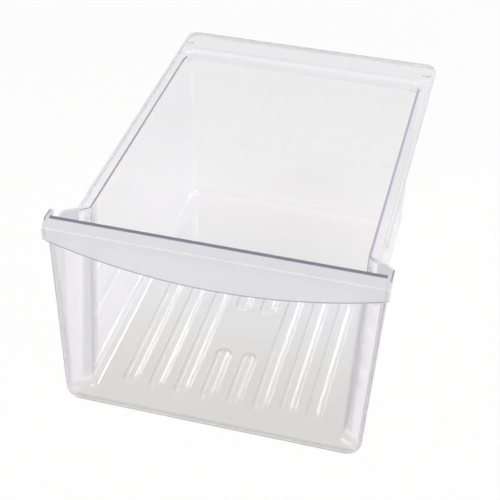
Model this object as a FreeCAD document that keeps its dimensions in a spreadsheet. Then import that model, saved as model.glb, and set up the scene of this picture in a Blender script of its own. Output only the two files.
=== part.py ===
import FreeCAD, Part
import Sketcher
import math
import os
import re

# A clear fridge crisper drawer, moulded in one piece.
# +Z is up and the front faces -Y. The origin is on the surface it stands on, under the middle of its box.

SIZES = {
    # the whole drawer
    "overall_depth": 430,
    "top_height": 215,
    "wall": 2.2,
    # the tub
    "tub_top_width": 272,
    "tub_foot_width": 266,
    "tub_round": 13,
    "flange_drop": 15,
    "rear_flange": 43,
    "rear_lean": 2.5,
    "rear_round": 11,
    "rear_bend": 6.5,
    "bend_fade": 28,
    # the front, which leans back towards its top and is wider than the tub
    "front_lean": 3.7,
    "front_top_width": 317,
    "front_foot_width": 303,
    "front_round": 16,
    "front_edge": 6,
    # the shoulder, where the tub widens towards the front; it runs forward as it goes down
    "shoulder_lean": 11.6,
    "shoulder_setback": 26,
    "shoulder_depth": 17,
    "shoulder_shift": 1.5,
    # the frosted band and the strip rolled back above it
    "band_width": 323,
    "band_proud": 3,
    "band_drop": 36,
    "band_radius": 560,
    "band_end_round": 7,
    "strip_rise": 6.5,
    "strip_back": 9,
    "return_thick": 4,
    "return_depth": 9,
    "return_drop": 8,
    "end_drop": 12,
    # the flange round the tub
    "flange_width": 296,
    "flange_corner": 13,
    "flange_step": 2,
    "flange_edge": 3.7,
    "skirt_height": 7,
    "skirt_setback": 88,
    "lip_height": 5,
    # the stop bosses on the flange's rear corners
    "boss_length": 12,
    "boss_width": 7,
    "boss_height": 0.8,
    "boss_middle": 139,
    "boss_setback": 29,
    # the floor's ribs, hollow from below
    "rib_count": 8,
    "rib_pitch": 27.7,
    "rib_height": 4,
    "rib_crown": 10,
    "rib_foot": 5,
    "rib_setback": 45,
    "rib_length": 200,
    "pad_setback": 115,
    "pad_length": 60,
}

# The flange lies below the drawer's top
DERIVED = {"flange_height": "top_height - flange_drop"}

# How far forward each section through the shoulder stands, as a share of its depth
SHOULDER = (0, 0.15, 0.3, 0.5, 0.7, 0.85, 1)
# How far round, in degrees, each section through the front panel's rounded edge stands
FRONT_TURN = (0, 22.5, 45, 67.5, 90)
# How far the bend above the rear wall turns, in degrees, to leave the side walls and fade out
BEND_TURN = 105
# How high on its ellipsoid, in degrees, the foot of a stop boss is cut
BOSS_FOOT = 45
# The slope of the ribs' rear ends, in degrees
RIB_SLOPE = 40
CUT_OVER = 6
SINK = 0.3
RIB_SINK = 0.05

doc = FreeCAD.newDocument("crisper_drawer")
sheet = doc.addObject("Spreadsheet::Sheet", "sizes")
for row, (alias, value) in enumerate({**SIZES, **DERIVED}.items(), 1):
    sheet.set(f"A{row}", alias)
    sheet.set(f"B{row}", f"={value}")
    sheet.setAlias(f"B{row}", alias)
doc.recompute()


def bound(expression):
    """The expression with every size in it pointed at its cell."""
    pointed = {alias: f"sizes.{alias}" for alias in (*SIZES, *DERIVED)}
    return re.sub(r"[a-z]\w*", lambda word: pointed.get(word[0], word[0]), str(expression))


def number(expression):
    """What the expression comes to with the sheet's present sizes."""
    result = sheet.evalExpression(bound(expression))
    return float(getattr(result, "Value", result))


def bind(thing, **expressions):
    """Ties properties of an object to expressions; a double underscore stands for a dot."""
    for name, expression in expressions.items():
        thing.setExpression(name.replace("__", "."), bound(expression))
    return thing


def constrain(sketch, kind, *where, size):
    """Adds a dimension to a sketch and ties it to an expression."""
    index = sketch.addConstraint(Sketcher.Constraint(kind, *where, number(size)))
    sketch.setExpression(f"Constraints[{index}]", bound(size))


def relate(sketch, *relations):
    for relation in relations:
        sketch.addConstraint(Sketcher.Constraint(*relation))


# Sketch points: the origin, the horizontal axis and the vertical axis
ORIGIN = (-1, 1)
ACROSS, UPRIGHT = (-1, -2)

# Where the plane of the leaning front, drawn on past its rounded lower edge, would meet the ground
UNDER_FRONT = "-overall_depth / 2 - front_edge * tan(front_lean)"
FORWARD = FreeCAD.Vector(0, -1, 0)
BACK = FreeCAD.Vector(0, 1, 0)
RIGHT = FreeCAD.Vector(1, 0, 0)
LEFT = FreeCAD.Vector(-1, 0, 0)


def leaning_sketch(name, foot, lean):
    """An empty sketch that looks along Y, with its foot at a given Y and its top leaning back."""
    sketch = doc.addObject("Sketcher::SketchObject", name)
    sketch.Placement.Rotation = FreeCAD.Rotation(FreeCAD.Vector(1, 0, 0), number(f"90 - {lean}"))
    return bind(sketch, Placement__Base__y=foot, Placement__Rotation__Angle=f"90 - ({lean})")


def tub_section(name, foot, lean, top_half, foot_half, top, round_size, floor=None):
    """A section through the drawer: floor, two rounded corners, two drafted sides, closed across the top.

    The half widths are those of the sides where they meet the top and, drawn on, the ground.
    """
    sketch = leaning_sketch(name, foot, lean)
    x_top, x_foot, rise, radius = number(top_half), number(foot_half), number(top), number(round_size)
    low = number(floor) if floor else 0.0
    draft = math.atan2(x_top - x_foot, rise)
    z_side = low + radius * (1 - math.sin(draft))
    x_side = x_foot + z_side * math.tan(draft)
    x_mid = x_side - radius * math.cos(draft)

    def point(x, z):
        return FreeCAD.Vector(x, z, 0)

    def corner(x, first, last):
        circle = Part.Circle(point(x, low + radius), FreeCAD.Vector(0, 0, 1), radius)
        return Part.ArcOfCircle(circle, first, last)

    bottom, right_round, right, across, left, left_round, right_foot, left_foot = range(8)
    sketch.addGeometry(
        [
            Part.LineSegment(point(-x_mid, low), point(x_mid, low)),
            corner(x_mid, -math.pi / 2, -draft),
            Part.LineSegment(point(x_side, z_side), point(x_top, rise)),
            Part.LineSegment(point(x_top, rise), point(-x_top, rise)),
            Part.LineSegment(point(-x_top, rise), point(-x_side, z_side)),
            corner(-x_mid, math.pi + draft, 1.5 * math.pi),
            Part.Point(point(x_foot, 0)),
            Part.Point(point(-x_foot, 0)),
        ],
        False,
    )
    sketch.setConstruction(right_foot, True)
    sketch.setConstruction(left_foot, True)
    relate(
        sketch,
        ("Tangent", bottom, 2, right_round, 1),
        ("Tangent", right_round, 2, right, 1),
        ("Coincident", right, 2, across, 1),
        ("Coincident", across, 2, left, 1),
        ("Tangent", left, 2, left_round, 1),
        ("Tangent", left_round, 2, bottom, 1),
        ("Horizontal", bottom),
        ("Symmetric", across, 1, across, 2, UPRIGHT),
        ("Equal", right_round, left_round),
        ("PointOnObject", right_foot, 1, ACROSS),
        ("PointOnObject", right_foot, 1, right),
        ("Symmetric", right_foot, 1, left_foot, 1, UPRIGHT),
        ("PointOnObject", left_foot, 1, left),
    )
    constrain(sketch, "Radius", right_round, size=round_size)
    constrain(sketch, "DistanceX", *ORIGIN, right_foot, 1, size=foot_half)
    constrain(sketch, "DistanceX", *ORIGIN, across, 1, size=top_half)
    constrain(sketch, "DistanceY", *ORIGIN, across, 1, size=top)
    if floor:
        constrain(sketch, "DistanceY", *ORIGIN, bottom, 1, size=floor)
    else:
        relate(sketch, ("PointOnObject", bottom, 1, ACROSS))
    return sketch


def loft(name, sections):
    solid = doc.addObject("Part::Loft", name)
    solid.Sections = sections
    solid.Solid = True
    return solid


def extrude(name, sketch, towards, length):
    solid = doc.addObject("Part::Extrusion", name)
    solid.Base = sketch
    solid.DirMode = "Custom"
    solid.Dir = towards
    solid.Solid = True
    return bind(solid, LengthFwd=length)


def block(name, x, y, z, length, width, height):
    solid = doc.addObject("Part::Box", name)
    bind(solid, Length=length, Width=width, Height=height)
    return bind(solid, Placement__Base__x=x, Placement__Base__y=y, Placement__Base__z=z)


def fuse(name, solids):
    whole = doc.addObject("Part::MultiFuse", name)
    whole.Shapes = solids
    whole.Refine = False
    return whole


def cut(name, base, tool):
    rest = doc.addObject("Part::Cut", name)
    rest.Base = base
    rest.Tool = tool
    rest.Refine = False
    return rest


def rounded(name, base, size, chosen):
    """The base with each chosen edge rounded; chosen is asked about every edge once the base is made."""
    doc.recompute()
    solid = doc.addObject("Part::Fillet", name)
    solid.Base = base
    radius = number(size)
    solid.Edges = [(i, radius, radius) for i, edge in enumerate(base.Shape.Edges, 1) if chosen(edge)]
    return solid


def round_back(name, base, size):
    """A block with its two upright edges at the back rounded."""
    doc.recompute()
    behind = base.Shape.BoundBox.YMax - SINK

    def upright_behind(edge):
        return edge.BoundBox.ZLength > SINK and edge.BoundBox.YMin > behind

    return rounded(name, base, size, upright_behind)


# The tub: drafted sides that flare out at the front to the width of the front panel


def straight_section(name, inset, top, floor=None):
    """The upright section that the straight part of the tub has all along."""
    return tub_section(
        name,
        foot=f"{UNDER_FRONT} + shoulder_setback + flange_height * tan(shoulder_lean) + tub_round",
        lean="0",
        top_half=f"tub_top_width / 2 - ({inset})",
        foot_half=f"tub_foot_width / 2 - ({inset})",
        top=top,
        round_size=f"tub_round - ({inset})",
        floor=floor,
    )


def shoulder_sections(name, inset, shift, top, floor=None):
    """Leaning sections from the width of the tub to that of the front, along an S seen from above."""
    sections = []
    for step, forward in enumerate(SHOULDER):
        out = round(forward**2 * (3 - 2 * forward), 4)
        sections.append(
            tub_section(
                f"{name}_{step}",
                foot=f"{UNDER_FRONT} + shoulder_setback - ({shift}) - shoulder_depth * {forward}",
                lean="shoulder_lean",
                top_half=f"tub_top_width / 2 - ({inset}) + (front_top_width - tub_top_width) / 2 * {out}",
                foot_half=f"tub_foot_width / 2 - ({inset}) + (front_foot_width - tub_foot_width) / 2 * {out}",
                top=f"({top}) / cos(shoulder_lean)",
                round_size=f"tub_round - ({inset}) + (front_round - tub_round) * {out}",
                floor=floor,
            )
        )
    return sections


def front_sections(name, inset, top, size):
    """Sections where the sides and floor turn into the front panel, or into its inner face."""
    sections = []
    for step, angle in enumerate(FRONT_TURN):
        ahead = f"({size}) * {1 - math.sin(math.radians(angle)):.4f}"
        closer = f"({inset}) + ({size}) * {1 - math.cos(math.radians(angle)):.4f}"
        sections.append(
            tub_section(
                f"{name}_{step}",
                foot=f"{UNDER_FRONT} + ({inset}) + {ahead}",
                lean="front_lean",
                top_half=f"front_top_width / 2 - ({closer})",
                foot_half=f"front_foot_width / 2 - ({closer})",
                top=f"({top}) / cos(front_lean)",
                round_size=f"front_round - ({closer})",
                floor=closer if number(closer) > 0 else None,
            )
        )
    return sections


def straight_tub(name, section, inset, size):
    """The tub from the shoulder to the rear wall, with the rear wall's edges rounded."""
    long_tub = extrude(f"{name}_long", section, BACK, "overall_depth")
    behind = block(
        f"{name}_behind",
        "-tub_top_width",
        f"overall_depth / 2 - rear_flange - ({inset}) - flange_height * tan(rear_lean)",
        "0",
        "2 * tub_top_width",
        "2 * overall_depth",
        "2 * flange_height",
    )
    behind.Placement.Rotation = FreeCAD.Rotation(LEFT, number("rear_lean"))
    bind(behind, Placement__Rotation__Angle="rear_lean")
    trimmed = cut(f"{name}_trimmed", long_tub, behind)
    doc.recompute()
    rear_face = max(trimmed.Shape.Faces, key=lambda face: face.CenterOfMass.y)
    highest = trimmed.Shape.BoundBox.ZMax - SINK
    ring = [edge.hashCode() for edge in rear_face.Edges if edge.BoundBox.ZMin < highest]
    return rounded(name, trimmed, size, lambda edge: edge.hashCode() in ring)


def tub(name, inset, shift, top, floor=None):
    """All of the tub's outside, or with an inset and a floor the hollow in it, as touching solids."""
    straight = straight_section(f"{name}_straight", inset, top, floor)
    shoulder = shoulder_sections(f"{name}_shoulder", inset, shift, top, floor)
    front = front_sections(f"{name}_front", inset, top, f"front_edge - ({inset})")
    return [
        straight_tub(f"{name}_rear", straight, inset, f"rear_round - ({inset})"),
        loft(f"{name}_joining", [straight, shoulder[0]]),
        loft(f"{name}_widening", shoulder),
        loft(f"{name}_head", [shoulder[-1], front[0]]),
        loft(f"{name}_panel", front),
    ]


outside = tub("outer", "0", "0", "flange_height")
brim = f"(flange_height + {CUT_OVER})"
hollow = fuse("hollow", tub("inner", "wall", "shoulder_shift", brim, "wall"))

# The front above the flange: the panel's upper edge, the band that stands proud of it, the strip rolled back

crease = "(top_height - strip_rise)"
panel_foot = "(flange_height - wall)"
panel = block(
    "panel",
    "-front_top_width / 2",
    f"{UNDER_FRONT} + {panel_foot} * tan(front_lean)",
    panel_foot,
    "front_top_width",
    "wall * cos(front_lean)",
    f"({crease} - {panel_foot}) / cos(front_lean)",
)
panel.Placement.Rotation = FreeCAD.Rotation(LEFT, number("front_lean"))
bind(panel, Placement__Rotation__Angle="front_lean")


def band_sketch():
    """The band's outline: straight top and ends, a lower edge that hangs down in the middle."""
    sketch = leaning_sketch("band_outline", UNDER_FRONT, "front_lean")
    top = f"{crease} / cos(front_lean)"
    half = number("band_width / 2")
    high = number(top)
    radius = number("band_radius")
    end = number("band_end_round")
    low = high - number("band_drop")
    end_x = half - end
    end_z = low + radius - math.sqrt((radius - end) ** 2 - end_x**2)
    lean = math.atan2(end_x, low + radius - end_z)
    axis = FreeCAD.Vector(0, 0, 1)

    def point(x, z):
        return FreeCAD.Vector(x, z, 0)

    def arc(x, z, size, first, last):
        return Part.ArcOfCircle(Part.Circle(point(x, z), axis, size), first, last)

    down = -math.pi / 2
    across, left, left_round, sweep, right_round, right, lowest = range(7)
    sketch.addGeometry(
        [
            Part.LineSegment(point(half, high), point(-half, high)),
            Part.LineSegment(point(-half, high), point(-half, end_z)),
            arc(-end_x, end_z, end, math.pi, math.pi * 1.5 - lean),
            arc(0, low + radius, radius, down - lean, down + lean),
            arc(end_x, end_z, end, down + lean, 0),
            Part.LineSegment(point(half, end_z), point(half, high)),
            Part.Point(point(0, low)),
        ],
        False,
    )
    sketch.setConstruction(lowest, True)
    relate(
        sketch,
        ("Coincident", across, 2, left, 1),
        ("Tangent", left, 2, left_round, 1),
        ("Tangent", left_round, 2, sweep, 1),
        ("Tangent", sweep, 2, right_round, 1),
        ("Tangent", right_round, 2, right, 1),
        ("Coincident", right, 2, across, 1),
        ("Symmetric", across, 1, across, 2, UPRIGHT),
        ("Vertical", left),
        ("Vertical", right),
        ("Equal", left_round, right_round),
        ("PointOnObject", sweep, 3, UPRIGHT),
        ("PointOnObject", lowest, 1, UPRIGHT),
        ("PointOnObject", lowest, 1, sweep),
    )
    constrain(sketch, "DistanceX", *ORIGIN, across, 1, size="band_width / 2")
    constrain(sketch, "DistanceY", *ORIGIN, across, 1, size=top)
    constrain(sketch, "DistanceY", lowest, 1, across, 1, size="band_drop")
    constrain(sketch, "Radius", sweep, size="band_radius")
    constrain(sketch, "Radius", right_round, size="band_end_round")
    return sketch


band = extrude("band", band_sketch(), FORWARD, "band_proud")

# Where the band's face ends at the crease below the rolled strip
crease_y = f"({UNDER_FRONT} + {crease} * tan(front_lean) - band_proud)"
strip_through = "(wall * sqrt(1 + pow(strip_back / strip_rise; 2)))"


def side_profile(name, x, corners):
    """A closed outline in the plane across X, drawn from the crease; corners are (back, up) expressions."""
    sketch = doc.addObject("Sketcher::SketchObject", name)
    sketch.Placement.Rotation = FreeCAD.Rotation(
        FreeCAD.Vector(0, 1, 0), FreeCAD.Vector(0, 0, 1), FreeCAD.Vector(1, 0, 0)
    )
    bind(sketch, Placement__Base__x=x, Placement__Base__y=crease_y, Placement__Base__z=crease)
    points = [FreeCAD.Vector(number(back), number(up), 0) for back, up in corners]
    count = len(points)
    for i in range(count):
        sketch.addGeometry(Part.LineSegment(points[i], points[(i + 1) % count]), False)
    for i, (back, up) in enumerate(corners):
        relate(sketch, ("Coincident", i - 1 if i else count - 1, 2, i, 1))
        if back == "0":
            relate(sketch, ("PointOnObject", i, 1, UPRIGHT))
        else:
            constrain(sketch, "DistanceX", *ORIGIN, i, 1, size=back)
        if up == "0":
            relate(sketch, ("PointOnObject", i, 1, ACROSS))
        else:
            constrain(sketch, "DistanceY", *ORIGIN, i, 1, size=up)
    return sketch


strip = extrude(
    "strip",
    side_profile(
        "strip_profile",
        "-front_top_width / 2",
        [
            ("0", "0"),
            (strip_through, "0"),
            (f"strip_back + {strip_through}", "strip_rise"),
            ("strip_back", "strip_rise"),
        ],
    ),
    RIGHT,
    "front_top_width",
)


def end_return(name, x):
    """A short wall that closes one end of the band and runs back from it."""
    behind = f"strip_back + {strip_through} + return_depth"
    corners = [
        ("0", "0"),
        ("return_drop * tan(front_lean) * -1", "return_drop * -1"),
        (f"strip_back + {strip_through}", "return_drop * -1"),
        (behind, "strip_rise"),
        ("strip_back", "strip_rise"),
    ]
    return extrude(name, side_profile(f"{name}_profile", x, corners), RIGHT, "return_thick")


def end_fill(name, x):
    """The band's end below the return, where it goes round the panel's rounded edge."""
    corners = [
        ("wall * tan(front_lean) * -1", "wall * -1"),
        ("end_drop * tan(front_lean) * -1", "end_drop * -1"),
        ("band_proud + front_edge + wall", "end_drop * -1"),
        ("band_proud + front_edge + wall", "wall * -1"),
    ]
    return extrude(name, side_profile(f"{name}_profile", x, corners), RIGHT, end_width)


end_width = "((band_width - front_top_width) / 2 + front_edge + wall)"
band_ends = [
    end_return("left_return", "-band_width / 2"),
    end_return("right_return", "band_width / 2 - return_thick"),
    end_fill("left_end", "-band_width / 2"),
    end_fill("right_end", f"band_width / 2 - {end_width}"),
]

# The flange: a plate with a skirt turned down along its sides and back, up to the shoulder

skirt_front = f"({UNDER_FRONT} + skirt_setback)"
skirt_foot = "flange_height - skirt_height"


def turned_edge(name, base, size):
    """The block with the edges of its top face rounded, all but the one in front."""
    doc.recompute()
    box = base.Shape.BoundBox

    def on_top(edge):
        return edge.BoundBox.ZMin > box.ZMax - SINK and edge.BoundBox.YMax > box.YMin + SINK

    return rounded(name, base, size, on_top)


flange_plan = round_back(
    "flange_plan",
    block(
        "flange_blank",
        "-flange_width / 2",
        skirt_front,
        skirt_foot,
        "flange_width",
        f"overall_depth / 2 - {skirt_front}",
        "skirt_height",
    ),
    "flange_corner",
)
under_plan = round_back(
    "under_plan",
    block(
        "under_blank",
        "-flange_width / 2 + wall",
        f"{skirt_front} - {CUT_OVER}",
        f"{skirt_foot} - {CUT_OVER}",
        "flange_width - 2 * wall",
        f"overall_depth / 2 - {skirt_front} - wall + {CUT_OVER}",
        f"skirt_height - wall + {CUT_OVER}",
    ),
    "flange_corner - wall",
)
flange = cut(
    "flange",
    turned_edge("flange_block", flange_plan, "flange_edge"),
    turned_edge("flange_under", under_plan, "flange_edge - wall"),
)

# The rear wall bends into the flange with an even thickness; the bend runs round the corners and fades out

bend_foot = "(rear_bend * tan(rear_lean))"
cove = "(rear_bend - wall)"
cove_back = f"(overall_depth / 2 - rear_flange - {cove} * tan(rear_lean))"
rear_inside = f"(overall_depth / 2 - rear_flange - wall - {bend_foot})"
bend_axis = f"({rear_inside} - rear_round + wall)"
bend_half = f"(tub_top_width / 2 - rear_round - {bend_foot})"


def bend_sketch(name, place, size, margin, turn=0):
    """A square corner less the quarter circle in it, upright, facing back or turned to one side."""
    sketch = doc.addObject("Sketcher::SketchObject", name)
    facing_back = FreeCAD.Rotation(FreeCAD.Vector(0, 1, 0), FreeCAD.Vector(0, 0, 1), FreeCAD.Vector(1, 0, 0))
    sketch.Placement.Rotation = FreeCAD.Rotation(FreeCAD.Vector(0, 0, 1), turn).multiply(facing_back)
    x, y, z = place
    bind(sketch, Placement__Base__x=x, Placement__Base__y=y, Placement__Base__z=z)
    radius = number(size)

    def point(back, up):
        return FreeCAD.Vector(back, up, 0)

    circle = Part.Circle(point(radius, -radius), FreeCAD.Vector(0, 0, 1), radius)
    bend, down, inner, over, back = range(5)
    sketch.addGeometry(
        [
            Part.ArcOfCircle(circle, math.pi / 2, math.pi),
            Part.LineSegment(point(0, -radius), point(-margin, -radius)),
            Part.LineSegment(point(-margin, -radius), point(-margin, margin)),
            Part.LineSegment(point(-margin, margin), point(radius, margin)),
            Part.LineSegment(point(radius, margin), point(radius, 0)),
        ],
        False,
    )
    relate(
        sketch,
        ("Coincident", bend, 2, down, 1),
        ("Coincident", down, 2, inner, 1),
        ("Coincident", inner, 2, over, 1),
        ("Coincident", over, 2, back, 1),
        ("Coincident", back, 2, bend, 1),
        ("Horizontal", down),
        ("Vertical", inner),
        ("Horizontal", over),
        ("Vertical", back),
        ("PointOnObject", bend, 2, UPRIGHT),
        ("PointOnObject", bend, 1, ACROSS),
        ("Horizontal", bend, 2, bend, 3),
        ("Vertical", bend, 1, bend, 3),
    )
    constrain(sketch, "Radius", bend, size=size)
    constrain(sketch, "DistanceX", inner, 1, *ORIGIN, size=str(margin))
    constrain(sketch, "DistanceY", *ORIGIN, inner, 2, size=str(margin))
    return sketch


def bend(name, back, height, size, margin):
    """One face of the bend along the rear wall, round both corners, and where it leaves the side walls."""
    section = bend_sketch(f"{name}_section", (f"-{bend_half}", back, height), size, margin)
    pieces = [extrude(f"{name}_rear", section, RIGHT, f"2 * {bend_half}")]
    reach = f"({back} - {bend_axis})"
    for side, sign in (("left", -1), ("right", 1)):
        middle = f"{sign} * {bend_half}"
        corner = doc.addObject("Part::Revolution", f"{name}_{side}")
        corner.Source = bend_sketch(f"{name}_{side}_start", (middle, back, height), size, margin)
        corner.Axis = FreeCAD.Vector(0, 0, -sign)
        corner.Angle = BEND_TURN
        corner.Solid = True
        bind(corner, Base__x=middle, Base__y=bend_axis)
        turn = -sign * BEND_TURN
        place = (
            f"{middle} + {sign} * {reach} * sin({BEND_TURN}deg)",
            f"{bend_axis} + {reach} * cos({BEND_TURN}deg)",
            height,
        )
        heading = FreeCAD.Rotation(FreeCAD.Vector(0, 0, 1), turn).multVec(FreeCAD.Vector(sign, 0, 0))
        leaving = bend_sketch(f"{name}_{side}_end", place, size, margin, turn)
        pieces += [corner, extrude(f"{name}_{side}_fade", leaving, heading, "bend_fade")]
    return fuse(name, pieces)


rear_cove = bend("rear_cove", cove_back, "flange_height - wall", cove, SINK)
bend_inside = bend("bend_inside", rear_inside, "flange_height", "rear_bend", 1)

shoulder_back = f"({UNDER_FRONT} + shoulder_setback - shoulder_depth + flange_height * tan(shoulder_lean))"
front_flange = block(
    "front_flange",
    "-flange_width / 2 + flange_step",
    shoulder_back,
    "flange_height - wall",
    "flange_width - 2 * flange_step",
    f"{skirt_front} + wall - {shoulder_back}",
    "wall",
)


def front_lip(name, x):
    """The shallow edge turned down along one side of the flange, from the skirt to the shoulder."""
    return block(
        name,
        x,
        shoulder_back,
        "flange_height - lip_height",
        "wall",
        f"{skirt_front} + wall - {shoulder_back}",
        "lip_height",
    )


left_lip = front_lip("left_lip", "-flange_width / 2 + flange_step")
right_lip = front_lip("right_lip", "flange_width / 2 - flange_step - wall")


def stop_boss(name, x):
    """A low dome across the flange near its rear corner."""
    dome = doc.addObject("Part::Ellipsoid", name)
    dome.Angle1 = BOSS_FOOT
    upper = f"((boss_height + {SINK}) / (1 - sin({BOSS_FOOT}deg)))"
    wider = f"(2 * cos({BOSS_FOOT}deg))"
    bind(dome, Radius1=upper, Radius2=f"boss_length / {wider}", Radius3=f"boss_width / {wider}")
    return bind(
        dome,
        Placement__Base__x=x,
        Placement__Base__y="overall_depth / 2 - boss_setback",
        Placement__Base__z=f"flange_height + boss_height - {upper}",
    )


left_boss = stop_boss("left_boss", "-boss_middle")
right_boss = stop_boss("right_boss", "boss_middle")

# The ribs: the floor rises in rounded ridges along the depth, so the same form is added above and taken below

rib_up = f"(rib_height + {RIB_SINK})"
rib_turn = f"acos(1 - {rib_up} / (rib_crown + rib_foot))"
rib_half = f"((rib_crown + rib_foot) * sin({rib_turn}))"


def rib_sketch(name, y, whole):
    """A ridge's section, a round crown between two hollow feet, or only its right half."""
    sketch = doc.addObject("Sketcher::SketchObject", name)
    sketch.Placement.Rotation = FreeCAD.Rotation(RIGHT, 90)
    bind(sketch, Placement__Base__y=y)
    half = number(rib_half)
    high = number(rib_up)
    crown_size = number("rib_crown")
    foot_size = number("rib_foot")
    turn = math.radians(number(rib_turn))
    up = math.pi / 2

    def point(x, z):
        return FreeCAD.Vector(x, z, 0)

    def arc(x, z, size, first, last):
        return Part.ArcOfCircle(Part.Circle(point(x, z), FreeCAD.Vector(0, 0, 1), size), first, last)

    crown, right_foot, base, left_foot = range(4)
    axis = left_foot
    sketch.addGeometry(
        [
            arc(0, high - crown_size, crown_size, up - turn, up + turn if whole else up),
            arc(half, foot_size, foot_size, 3 * up - turn, 3 * up),
            Part.LineSegment(point(-half if whole else 0, 0), point(half, 0)),
        ],
        False,
    )
    relate(
        sketch,
        ("Tangent", right_foot, 1, crown, 1),
        ("Tangent", base, 2, right_foot, 2),
        ("PointOnObject", crown, 3, UPRIGHT),
        ("PointOnObject", base, 1, ACROSS),
        ("PointOnObject", base, 2, ACROSS),
    )
    if whole:
        sketch.addGeometry(arc(-half, foot_size, foot_size, 3 * up, 3 * up + turn), False)
        relate(
            sketch,
            ("Tangent", crown, 2, left_foot, 2),
            ("Tangent", left_foot, 1, base, 1),
            ("Equal", right_foot, left_foot),
        )
    else:
        sketch.addGeometry(Part.LineSegment(point(0, high), point(0, 0)), False)
        relate(
            sketch,
            ("Coincident", crown, 2, axis, 1),
            ("Coincident", axis, 2, base, 1),
            ("Vertical", axis),
            ("PointOnObject", base, 1, UPRIGHT),
        )
    constrain(sketch, "DistanceY", crown, 3, *ORIGIN, size=f"rib_crown - {rib_up}")
    constrain(sketch, "Radius", crown, size="rib_crown")
    constrain(sketch, "Radius", right_foot, size="rib_foot")
    return sketch


def rib(name, start, length, rear_round):
    """A straight ridge drawn on the ground in the middle; its rear end is round like the front, or sloped."""
    run = extrude(f"{name}_run", rib_sketch(f"{name}_section", start, True), BACK, length)
    rear = f"{start} + {length}"
    ends = []
    for word, y in (("front", start), ("rear", rear)):
        if word == "rear" and not rear_round:
            break
        end = doc.addObject("Part::Revolution", f"{name}_{word}")
        end.Source = rib_sketch(f"{name}_{word}_section", y, False)
        end.Axis = FreeCAD.Vector(0, 0, 1)
        end.Angle = 360
        end.Solid = True
        ends.append(bind(end, Base__y=y))
    whole = fuse(name, [run, *ends])
    if rear_round:
        return whole
    behind = block(f"{name}_behind", "-rib_pitch", rear, "0", "2 * rib_pitch", "rib_pitch", "2 * rib_pitch")
    behind.Placement.Rotation = FreeCAD.Rotation(RIGHT, 90 - RIB_SLOPE)
    return cut(f"{name}_sloped", whole, behind)


def placed(name, solid, x, z):
    copy = doc.addObject("Part::Compound", name)
    copy.Links = [solid]
    return bind(copy, Placement__Base__x=x, Placement__Base__z=z)


rib_start = f"({UNDER_FRONT} + rib_setback)"
pad_start = f"({UNDER_FRONT} + pad_setback)"
front_run = f"({pad_start} - rib_crown - {rib_start})"
rear_start = f"({pad_start} + pad_length + rib_crown)"
rear_run = f"({rib_start} + rib_length - {rear_start})"
long_rib = rib("long_rib", rib_start, "rib_length", False)
short_ribs = [rib("front_rib", rib_start, front_run, True), rib("rear_rib", rear_start, rear_run, False)]

# The two middle ribs stop short of the flat pad where the plastic entered the mould
count = int(sheet.rib_count)
ridges = []
grooves = []
for i in range(count):
    in_middle = abs(2 * i - count + 1) < 2
    x = f"({i} - {(count - 1) / 2}) * rib_pitch"
    for form in short_ribs if in_middle else [long_rib]:
        ridges.append(placed(f"ridge_{i}_{form.Name}", form, x, f"wall - {RIB_SINK}"))
        grooves.append(placed(f"groove_{i}_{form.Name}", form, x, f"-{RIB_SINK}"))

rim = fuse("rim", [flange, front_flange, left_lip, right_lip, rear_cove, left_boss, right_boss])
body = fuse("body", [*outside, panel, band, strip, *band_ends, rim])
open_tub = cut("open_tub", cut("hollowed", body, hollow), bend_inside)
ribbed = fuse("ribbed", [open_tub, *ridges])
under_ribs = doc.addObject("Part::Compound", "under_ribs")
under_ribs.Links = grooves
drawer = cut("crisper_drawer", ribbed, under_ribs)
drawer.Refine = True
doc.recompute()

for thing in doc.Objects:
    faulty = "Invalid" in thing.State or "Error" in thing.State
    if faulty or (hasattr(thing, "Shape") and (thing.Shape.isNull() or not thing.Shape.isValid())):
        raise RuntimeError(f"{thing.Name} did not build: {thing.State}")
if len(drawer.Shape.Solids) != 1:
    raise RuntimeError(f"the drawer came out as {len(drawer.Shape.Solids)} solids")

os.makedirs("parts", exist_ok=True)
drawer.Label = "crisper_drawer"
drawer.Shape.exportStep(f"parts/{drawer.Label}.step")
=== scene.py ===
import math

import bpy
from mathutils import Matrix, Vector


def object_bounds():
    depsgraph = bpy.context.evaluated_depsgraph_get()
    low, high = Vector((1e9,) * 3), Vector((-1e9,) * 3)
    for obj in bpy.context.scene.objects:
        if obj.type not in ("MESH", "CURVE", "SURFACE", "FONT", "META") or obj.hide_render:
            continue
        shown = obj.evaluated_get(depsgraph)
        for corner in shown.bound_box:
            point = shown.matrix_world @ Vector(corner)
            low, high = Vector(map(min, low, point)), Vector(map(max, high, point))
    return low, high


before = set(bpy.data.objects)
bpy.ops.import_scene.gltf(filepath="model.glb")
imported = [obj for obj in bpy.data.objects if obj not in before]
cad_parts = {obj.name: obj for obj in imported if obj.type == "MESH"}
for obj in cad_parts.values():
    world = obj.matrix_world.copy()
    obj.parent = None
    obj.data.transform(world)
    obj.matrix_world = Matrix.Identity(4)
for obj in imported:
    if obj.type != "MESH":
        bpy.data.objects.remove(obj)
size_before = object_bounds()
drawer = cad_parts["crisper_drawer"]
scene = bpy.context.scene
scene.view_settings.view_transform = "Standard"

# Lengths are in metres. The drawer stands on z = 0 with its front towards -y, and its box gives three of them
HALF_WIDTH, REAR, TOP = size_before[1]
TUB_SIDE = 0.13
FLOOR_TOP = 0.008
FLOOR_FRONT = -0.2
FLOOR_MIDDLE = 0.03
FLOOR_REAR = 0.17
REAR_WALL = REAR - 0.043
FLANGE_HEIGHT = TOP - 0.015
FLANGE_SIDE = 0.148

# The front leans back and widens towards its top; the shoulders beside it run forward as they go down
FRONT_FOOT = -0.2154
FRONT_LEAN = math.radians(3.7)
FRONT_SIDE = 0.1515
FRONT_WIDENING = 0.0326
FRONT_SIDE_REAR = -0.2
SHOULDER_LEAN = math.radians(11.6)
SHOULDER_REAR = -0.15
FOLD = -0.2

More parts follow.
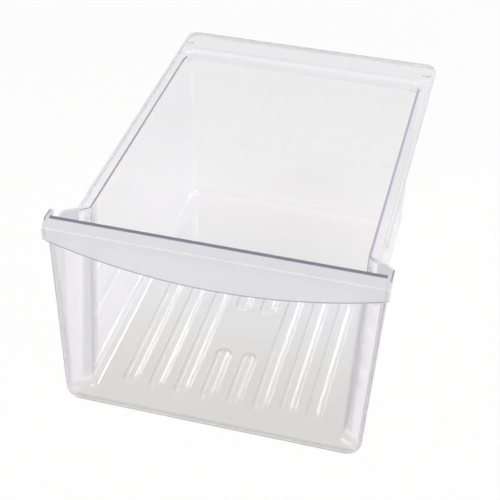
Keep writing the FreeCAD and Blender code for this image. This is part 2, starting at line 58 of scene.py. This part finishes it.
# The band's lower edge is an arc about a point high above the front, and a strip is rolled back over the band
BAND_FOOT = 0.17
BAND_RADIUS = 0.56
BAND_MIDDLE = 0.7329
STRIP_FOOT = TOP - 0.0065
STRIP_END = HALF_WIDTH - 0.0045

# How frosted each soft edge is, where 1 is as frosted as the band
SHOULDER_FROST = 0.6
FLANGE_FROST = 0.92
BEND_FROST = 0.36
FRONT_SIDE_FROST = 0.36
FOLD_FROST = 0.3

# How far each detail takes on its painted light or shade
FRONT_SIDE_LIGHT_SHARE = 0.6
FOLD_LIGHT_SHARE = 0.5
TURN_SHADE_SHARE = 0.6
TIP_SHADE_SHARE = 0.8

WHITE = (1, 1, 1, 1)
FROST = (0.86, 0.86, 0.87, 1)
# Painted shade: the strip is darker so that, facing up, it looks no brighter than the band
STRIP_SHADE = (0.775, 0.775, 0.785, 1)
# Painted highlight along the crease between the strip and the band
CREASE_HIGHLIGHT = (0.97, 0.97, 0.98, 1)
# Painted shade: a dark line along the band's lower edge, where it stands proud of the front
LOWER_EDGE_SHADE = (0.4, 0.4, 0.42, 1)
# Painted shade near the band's rounded ends
TURN_SHADE = (0.66, 0.66, 0.69, 1)
# Painted shade: a dark violet line along the strip's top edge, where one looks down the wall's thickness
TOP_EDGE_SHADE = (0.19, 0.18, 0.25, 1)
# Painted light: the soft edges are made pale where refraction would show dark lines
PAINTED_LIGHT_EDGE = (0.97, 0.97, 0.98, 1)
# Painted shade: a soft grey along the flange's outer edge
FLANGE_EDGE_SHADE = (0.87, 0.87, 0.89, 1)
# Painted shade on the drawer's floor, strongest at the front and fading towards the rear
FRONT_FLOOR_SHADE = (0.835, 0.838, 0.805, 1)
MIDDLE_FLOOR_SHADE = (0.93, 0.94, 0.945, 1)
REAR_FLOOR_SHADE = (0.985, 0.985, 0.99, 1)
THIN_SHADE = (0.9, 0.895, 0.87, 1)
TINT = (0.4, 0.375, 0.49, 1)
# Painted glow inside the plastic, standing in for scattered light
HAZE_GLOW = (0.94, 0.91, 1.0, 1)
STUDIO_WHITE = (0.84, 0.83, 0.81, 1)
DIM_AIR = (0.97, 0.98, 1.0, 1)

CLEAR_ROUGHNESS = 0.02
SHOULDER_ROUGHNESS = 0.13
BACKGROUND_RAYS = ("Is Camera Ray", "Is Glossy Ray", "Is Transmission Ray")


class Socket:
    """A shader value that takes Python arithmetic: each operator adds a Math node."""

    def __init__(self, tree, source=None):
        self.tree = tree
        self.source = source

    def node(self, kind, inputs=(), output=0, **settings):
        """Makes a node, sets its settings and inputs, and returns one of its outputs."""
        made = self.tree.nodes.new(kind)
        for name, value in settings.items():
            setattr(made, name, value)
        for key, value in dict(inputs).items():
            if isinstance(value, Socket):
                self.tree.links.new(value.source, made.inputs[key])
            else:
                made.inputs[key].default_value = value
        return Socket(self.tree, made.outputs[output])

    def end(self, kind, **shaders):
        """Links shaders to the node that the tree ends with."""
        last = self.tree.nodes.new(kind)
        for name, shader in shaders.items():
            self.tree.links.new(shader.source, last.inputs[name])

    def math(self, operation, *values):
        return self.node("ShaderNodeMath", enumerate(values), operation=operation)

    def __add__(self, other):
        return self.math("ADD", self, other)

    __radd__ = __add__

    def __sub__(self, other):
        return self.math("SUBTRACT", self, other)

    def __rsub__(self, other):
        return self.math("SUBTRACT", other, self)

    def __mul__(self, other):
        return self.math("MULTIPLY", self, other)

    __rmul__ = __mul__

    def __truediv__(self, other):
        return self.math("DIVIDE", self, other)

    def __pow__(self, other):
        return self.math("POWER", self, other)

    def __lt__(self, other):
        return self.math("LESS_THAN", self, other)

    def maximum(self, other):
        return self.math("MAXIMUM", self, other)

    def part(self, index):
        return self.node("ShaderNodeSeparateXYZ", {0: self}, output=index)

    def smooth(self, low, high):
        """0 below low, 1 above high, eased in between."""
        inputs = {"Value": self, "From Min": low, "From Max": high}
        return self.node("ShaderNodeMapRange", inputs, interpolation_type="SMOOTHSTEP")

    def after(self, place, start, end):
        """0 before a place and 1 past it, eased from start to end, both counted from the place."""
        return self.smooth(place + start, place + end)

    def before(self, place, start, end):
        """1 before a place and 0 past it, eased from start to end, both counted from the place."""
        return 1 - self.after(place, start, end)

    def blend(self, plain, other):
        """A plain colour that turns to another by this share."""
        inputs = {"Factor": self, 6: plain, 7: other}
        return self.node("ShaderNodeMix", inputs, output=2, data_type="RGBA")

    def mix(self, plain, other):
        """A plain shader that turns to another by this share."""
        return self.node("ShaderNodeMixShader", enumerate((self, plain, other)))


def empty_tree(owner):
    """Clears the nodes of a material or a world and returns the maker of new ones."""
    owner.use_nodes = True
    owner.node_tree.nodes.clear()
    return Socket(owner.node_tree)


# Where things are on the drawer, as values from 0 to 1
plastic = bpy.data.materials.new("clear_plastic")
make = empty_tree(plastic)
spot = make.node("ShaderNodeTexCoord", output="Object")
x, y, z = (spot.part(index) for index in range(3))
across = x.maximum(0 - x)
ahead_of_front = z * math.tan(FRONT_LEAN) + FRONT_FOOT - y
proud_band = ahead_of_front.after(0, 0.0003, 0.0008) * z.after(BAND_FOOT, -0.005, 0)
band = proud_band.maximum(z.after(STRIP_FOOT, -0.0001, 0.0003))

below_middle = BAND_MIDDLE - z / math.cos(FRONT_LEAN)
from_middle = (across * across + below_middle * below_middle) ** 0.5
# A thin painted dark line along the band's lower arc
lower_edge_shade = from_middle.after(BAND_RADIUS, -0.0013, -0.0009)
# A thin painted highlight along the crease
crease_highlight = z.after(STRIP_FOOT, -0.0009, -0.0003) * z.before(STRIP_FOOT, 0.0004, 0.001)
# Where the strip takes its painted shade
strip = z.after(STRIP_FOOT, 0.0001, 0.0007)
# Where the painted dark line runs along the top edge and at the strip's tips
top_edge_shade = z.after(TOP, -0.0004, -0.0001) * (across < STRIP_END)
tip_shade = z.after(TOP, -0.0022, -0.0012) * across.after(HALF_WIDTH, -0.0018, -0.0011)
# Where the painted shade lies near the band's ends
end_turn_shade = across.after(HALF_WIDTH, -0.0047, -0.0035) * across.before(HALF_WIDTH, -0.0023, -0.0011)

flange_rim = across.after(FLANGE_SIDE, -0.0045, -0.003).maximum(y.after(REAR, -0.0045, -0.003))
flange_edge = flange_rim * z.after(FLANGE_HEIGHT, -0.012, -0.01)
past_rear_wall = y.after(REAR_WALL, -0.014, -0.008) * y.before(REAR_WALL, 0.004, 0.01)
rear_bend = past_rear_wall * z.after(FLANGE_HEIGHT, -0.014, -0.01)
front_width = (across - z * FRONT_WIDENING).after(FRONT_SIDE, -0.003, -0.0015)
front_side = front_width * y.before(FRONT_SIDE_REAR, 0, 0.01) * (z < FLANGE_HEIGHT)
shoulder_top = z.after(FLANGE_HEIGHT, -0.0035, -0.0015) * y.before(SHOULDER_REAR, -0.008, 0)
beside_tub = across.after(TUB_SIDE, 0, 0.004) * (z < FLANGE_HEIGHT)
shoulder = beside_tub * y.before(SHOULDER_REAR, -0.015, 0)
along = y - z * math.tan(SHOULDER_LEAN)
fold_depth = along.after(FOLD, -0.006, 0) * along.before(FOLD, 0.012, 0.026)
fold_width = across.after(TUB_SIDE, -0.004, 0) * across.before(TUB_SIDE, 0.008, 0.011)
fold_height = z.after(FLOOR_TOP, 0.004, 0.012) * (z < FLANGE_HEIGHT - 0.003)
fold = fold_depth * fold_width * fold_height
on_floor = z.before(FLOOR_TOP, 0, 0.004)

# Clear plastic with painted shade on the floor, darker and warmer towards the front, and a little rougher on
# the shoulders
floor_shade_to_middle = y.smooth(FLOOR_FRONT, FLOOR_MIDDLE).blend(FRONT_FLOOR_SHADE, MIDDLE_FLOOR_SHADE)
floor_shade = y.smooth(0, FLOOR_REAR).blend(floor_shade_to_middle, REAR_FLOOR_SHADE)
clear = make.node(
    "ShaderNodeBsdfPrincipled",
    {
        "Base Color": on_floor.blend(WHITE, floor_shade),
        "Roughness": CLEAR_ROUGHNESS + SHOULDER_ROUGHNESS * shoulder,
        "IOR": 1.55,
        "Transmission Weight": 1.0,
    },
)

# Frosted plastic on the band, the strip and the soft edges. Painted on it: shade on the strip, a highlight
# along the crease, shade along the band's lower edge and near its ends, light on the soft edges, and a dark
# line along the strip's top edge and at its ends
frost = lower_edge_shade.blend(crease_highlight.blend(strip.blend(FROST, STRIP_SHADE), CREASE_HIGHLIGHT), LOWER_EDGE_SHADE)
frost = (end_turn_shade * TURN_SHADE_SHARE * band).blend(frost, TURN_SHADE)
# Painted light on the front's sides, the shoulder fold and the rear bend
pale = flange_edge.maximum(front_side * FRONT_SIDE_LIGHT_SHARE).maximum(fold * FOLD_LIGHT_SHARE).maximum(rear_bend)
frost = (pale * (1 - band)).blend(frost, PAINTED_LIGHT_EDGE)
# The painted grey shade along the flange's outer edge
frost = (flange_edge * (1 - band)).blend(frost, FLANGE_EDGE_SHADE)
frosted = make.node(
    "ShaderNodeBsdfPrincipled",
    {
        "Base Color": top_edge_shade.maximum(tip_shade * TIP_SHADE_SHARE).blend(frost, TOP_EDGE_SHADE),
        "Roughness": 0.45,
        "IOR": 1.5,
        "Transmission Weight": 0.4,
    },
)
frosting = band
for place, amount in (
    (shoulder_top, SHOULDER_FROST),
    (flange_edge, FLANGE_FROST),
    (rear_bend, BEND_FROST),
    (front_side, FRONT_SIDE_FROST),
    (fold, FOLD_FROST),
):
    frosting = frosting.maximum(place * amount)

# The walls let lamps shine through. They absorb a little inside, and a weak painted glow stands in for
# scattered light
in_shadow = make.node("ShaderNodeLightPath", output="Is Shadow Ray")
thin_shade = make.node("ShaderNodeBsdfTransparent", {"Color": THIN_SHADE})
surface = in_shadow.mix(frosting.mix(clear, frosted), thin_shade)
tint = make.node("ShaderNodeVolumeAbsorption", {"Color": TINT, "Density": 40.0})
haze_glow = make.node("ShaderNodeEmission", {"Color": HAZE_GLOW, "Strength": 12.0})
inside = make.node("ShaderNodeAddShader", {0: tint, 1: haze_glow})
make.end("ShaderNodeOutputMaterial", Surface=surface, Volume=inside)
drawer.data.materials.clear()
drawer.data.materials.append(plastic)


def background_share(make, camera, plastic):
    """How much of a surface is plain background, to the camera and to the rays that come by the plastic."""
    direct, glossy, through = (make.node("ShaderNodeLightPath", output=name) for name in BACKGROUND_RAYS)
    return direct * camera + glossy.maximum(through) * plastic


def matt_white(name, camera, plastic):
    """A matt white, in part replaced by a plain white background, with the shadow left on the rest."""
    material = bpy.data.materials.new(name)
    make = empty_tree(material)
    matt = make.node("ShaderNodeBsdfDiffuse", {"Color": STUDIO_WHITE})
    white = make.node("ShaderNodeEmission", {"Color": WHITE, "Strength": 1.0})
    surface = background_share(make, camera, plastic).mix(matt, white)
    make.end("ShaderNodeOutputMaterial", Surface=surface)
    return material


# The studio: a pale floor just below the drawer, in even air
bpy.ops.mesh.primitive_plane_add(size=12, location=(0, 0, -0.0005))
floor = bpy.context.object
floor.name = "studio_floor"
floor.data.materials.append(matt_white("studio_white", camera=0.9, plastic=0.4))

world = bpy.data.worlds.new("studio_air")
scene.world = world
air = empty_tree(world)
dim = air.node("ShaderNodeBackground", {"Color": DIM_AIR, "Strength": 0.62})
bright = air.node("ShaderNodeBackground", {"Color": WHITE, "Strength": 1.0})
around = background_share(air, camera=1.0, plastic=0.35).mix(dim, bright)
air.end("ShaderNodeOutputWorld", Surface=around)


def lamp(name, place, aim, width, height, power, upright=(0, 0, 1)):
    """A rectangular lamp that faces its aim, with its height turned towards upright."""
    data = bpy.data.lights.new(name, "AREA")
    data.shape = "RECTANGLE"
    data.size = width
    data.size_y = height
    data.energy = power
    light = bpy.data.objects.new(name, data)
    away = (Vector(place) - Vector(aim)).normalized()
    sideways = Vector(upright).cross(away).normalized()
    turn = Matrix((sideways, away.cross(sideways), away)).transposed()
    light.matrix_world = Matrix.Translation(place) @ turn.to_4x4()
    scene.collection.objects.link(light)


# Two soft lamps in front, and one behind whose reflection runs along the ribs
for name, side in (("left_softbox", -1), ("right_softbox", 1)):
    lamp(name, place=(side * 1.4, -0.9, 1.5), aim=(0, 0, 0.1), width=0.7, height=0.9, power=13)
along_ribs = (0.26, 0, 0.36)
lamp("rear_softbox", (1.02, 1.5, 1.4), (0, -0.1, 0), width=0.34, height=0.5, power=6.5, upright=along_ribs)

# The camera stands where the photograph was taken from
CAMERA_PLACE = (0.22619, -0.96308, 0.85158)
azimuth, elevation, roll = (math.radians(angle) for angle in (14.16, 38.665, 1.125))
camera = bpy.data.objects.new("camera", bpy.data.cameras.new("camera"))
scene.collection.objects.link(camera)
scene.camera = camera
camera.data.sensor_width = 36
camera.data.lens = 82.56
camera.data.shift_x = 0.0027
camera.data.shift_y = 0.0005
camera.data.clip_end = 50
level = math.cos(elevation)
back = Vector((math.sin(azimuth) * level, -math.cos(azimuth) * level, math.sin(elevation)))
turn = (-back).to_track_quat("-Z", "Y").to_matrix() @ Matrix.Rotation(roll, 3, "Z")
camera.matrix_world = Matrix.Translation(CAMERA_PLACE) @ turn.to_4x4()
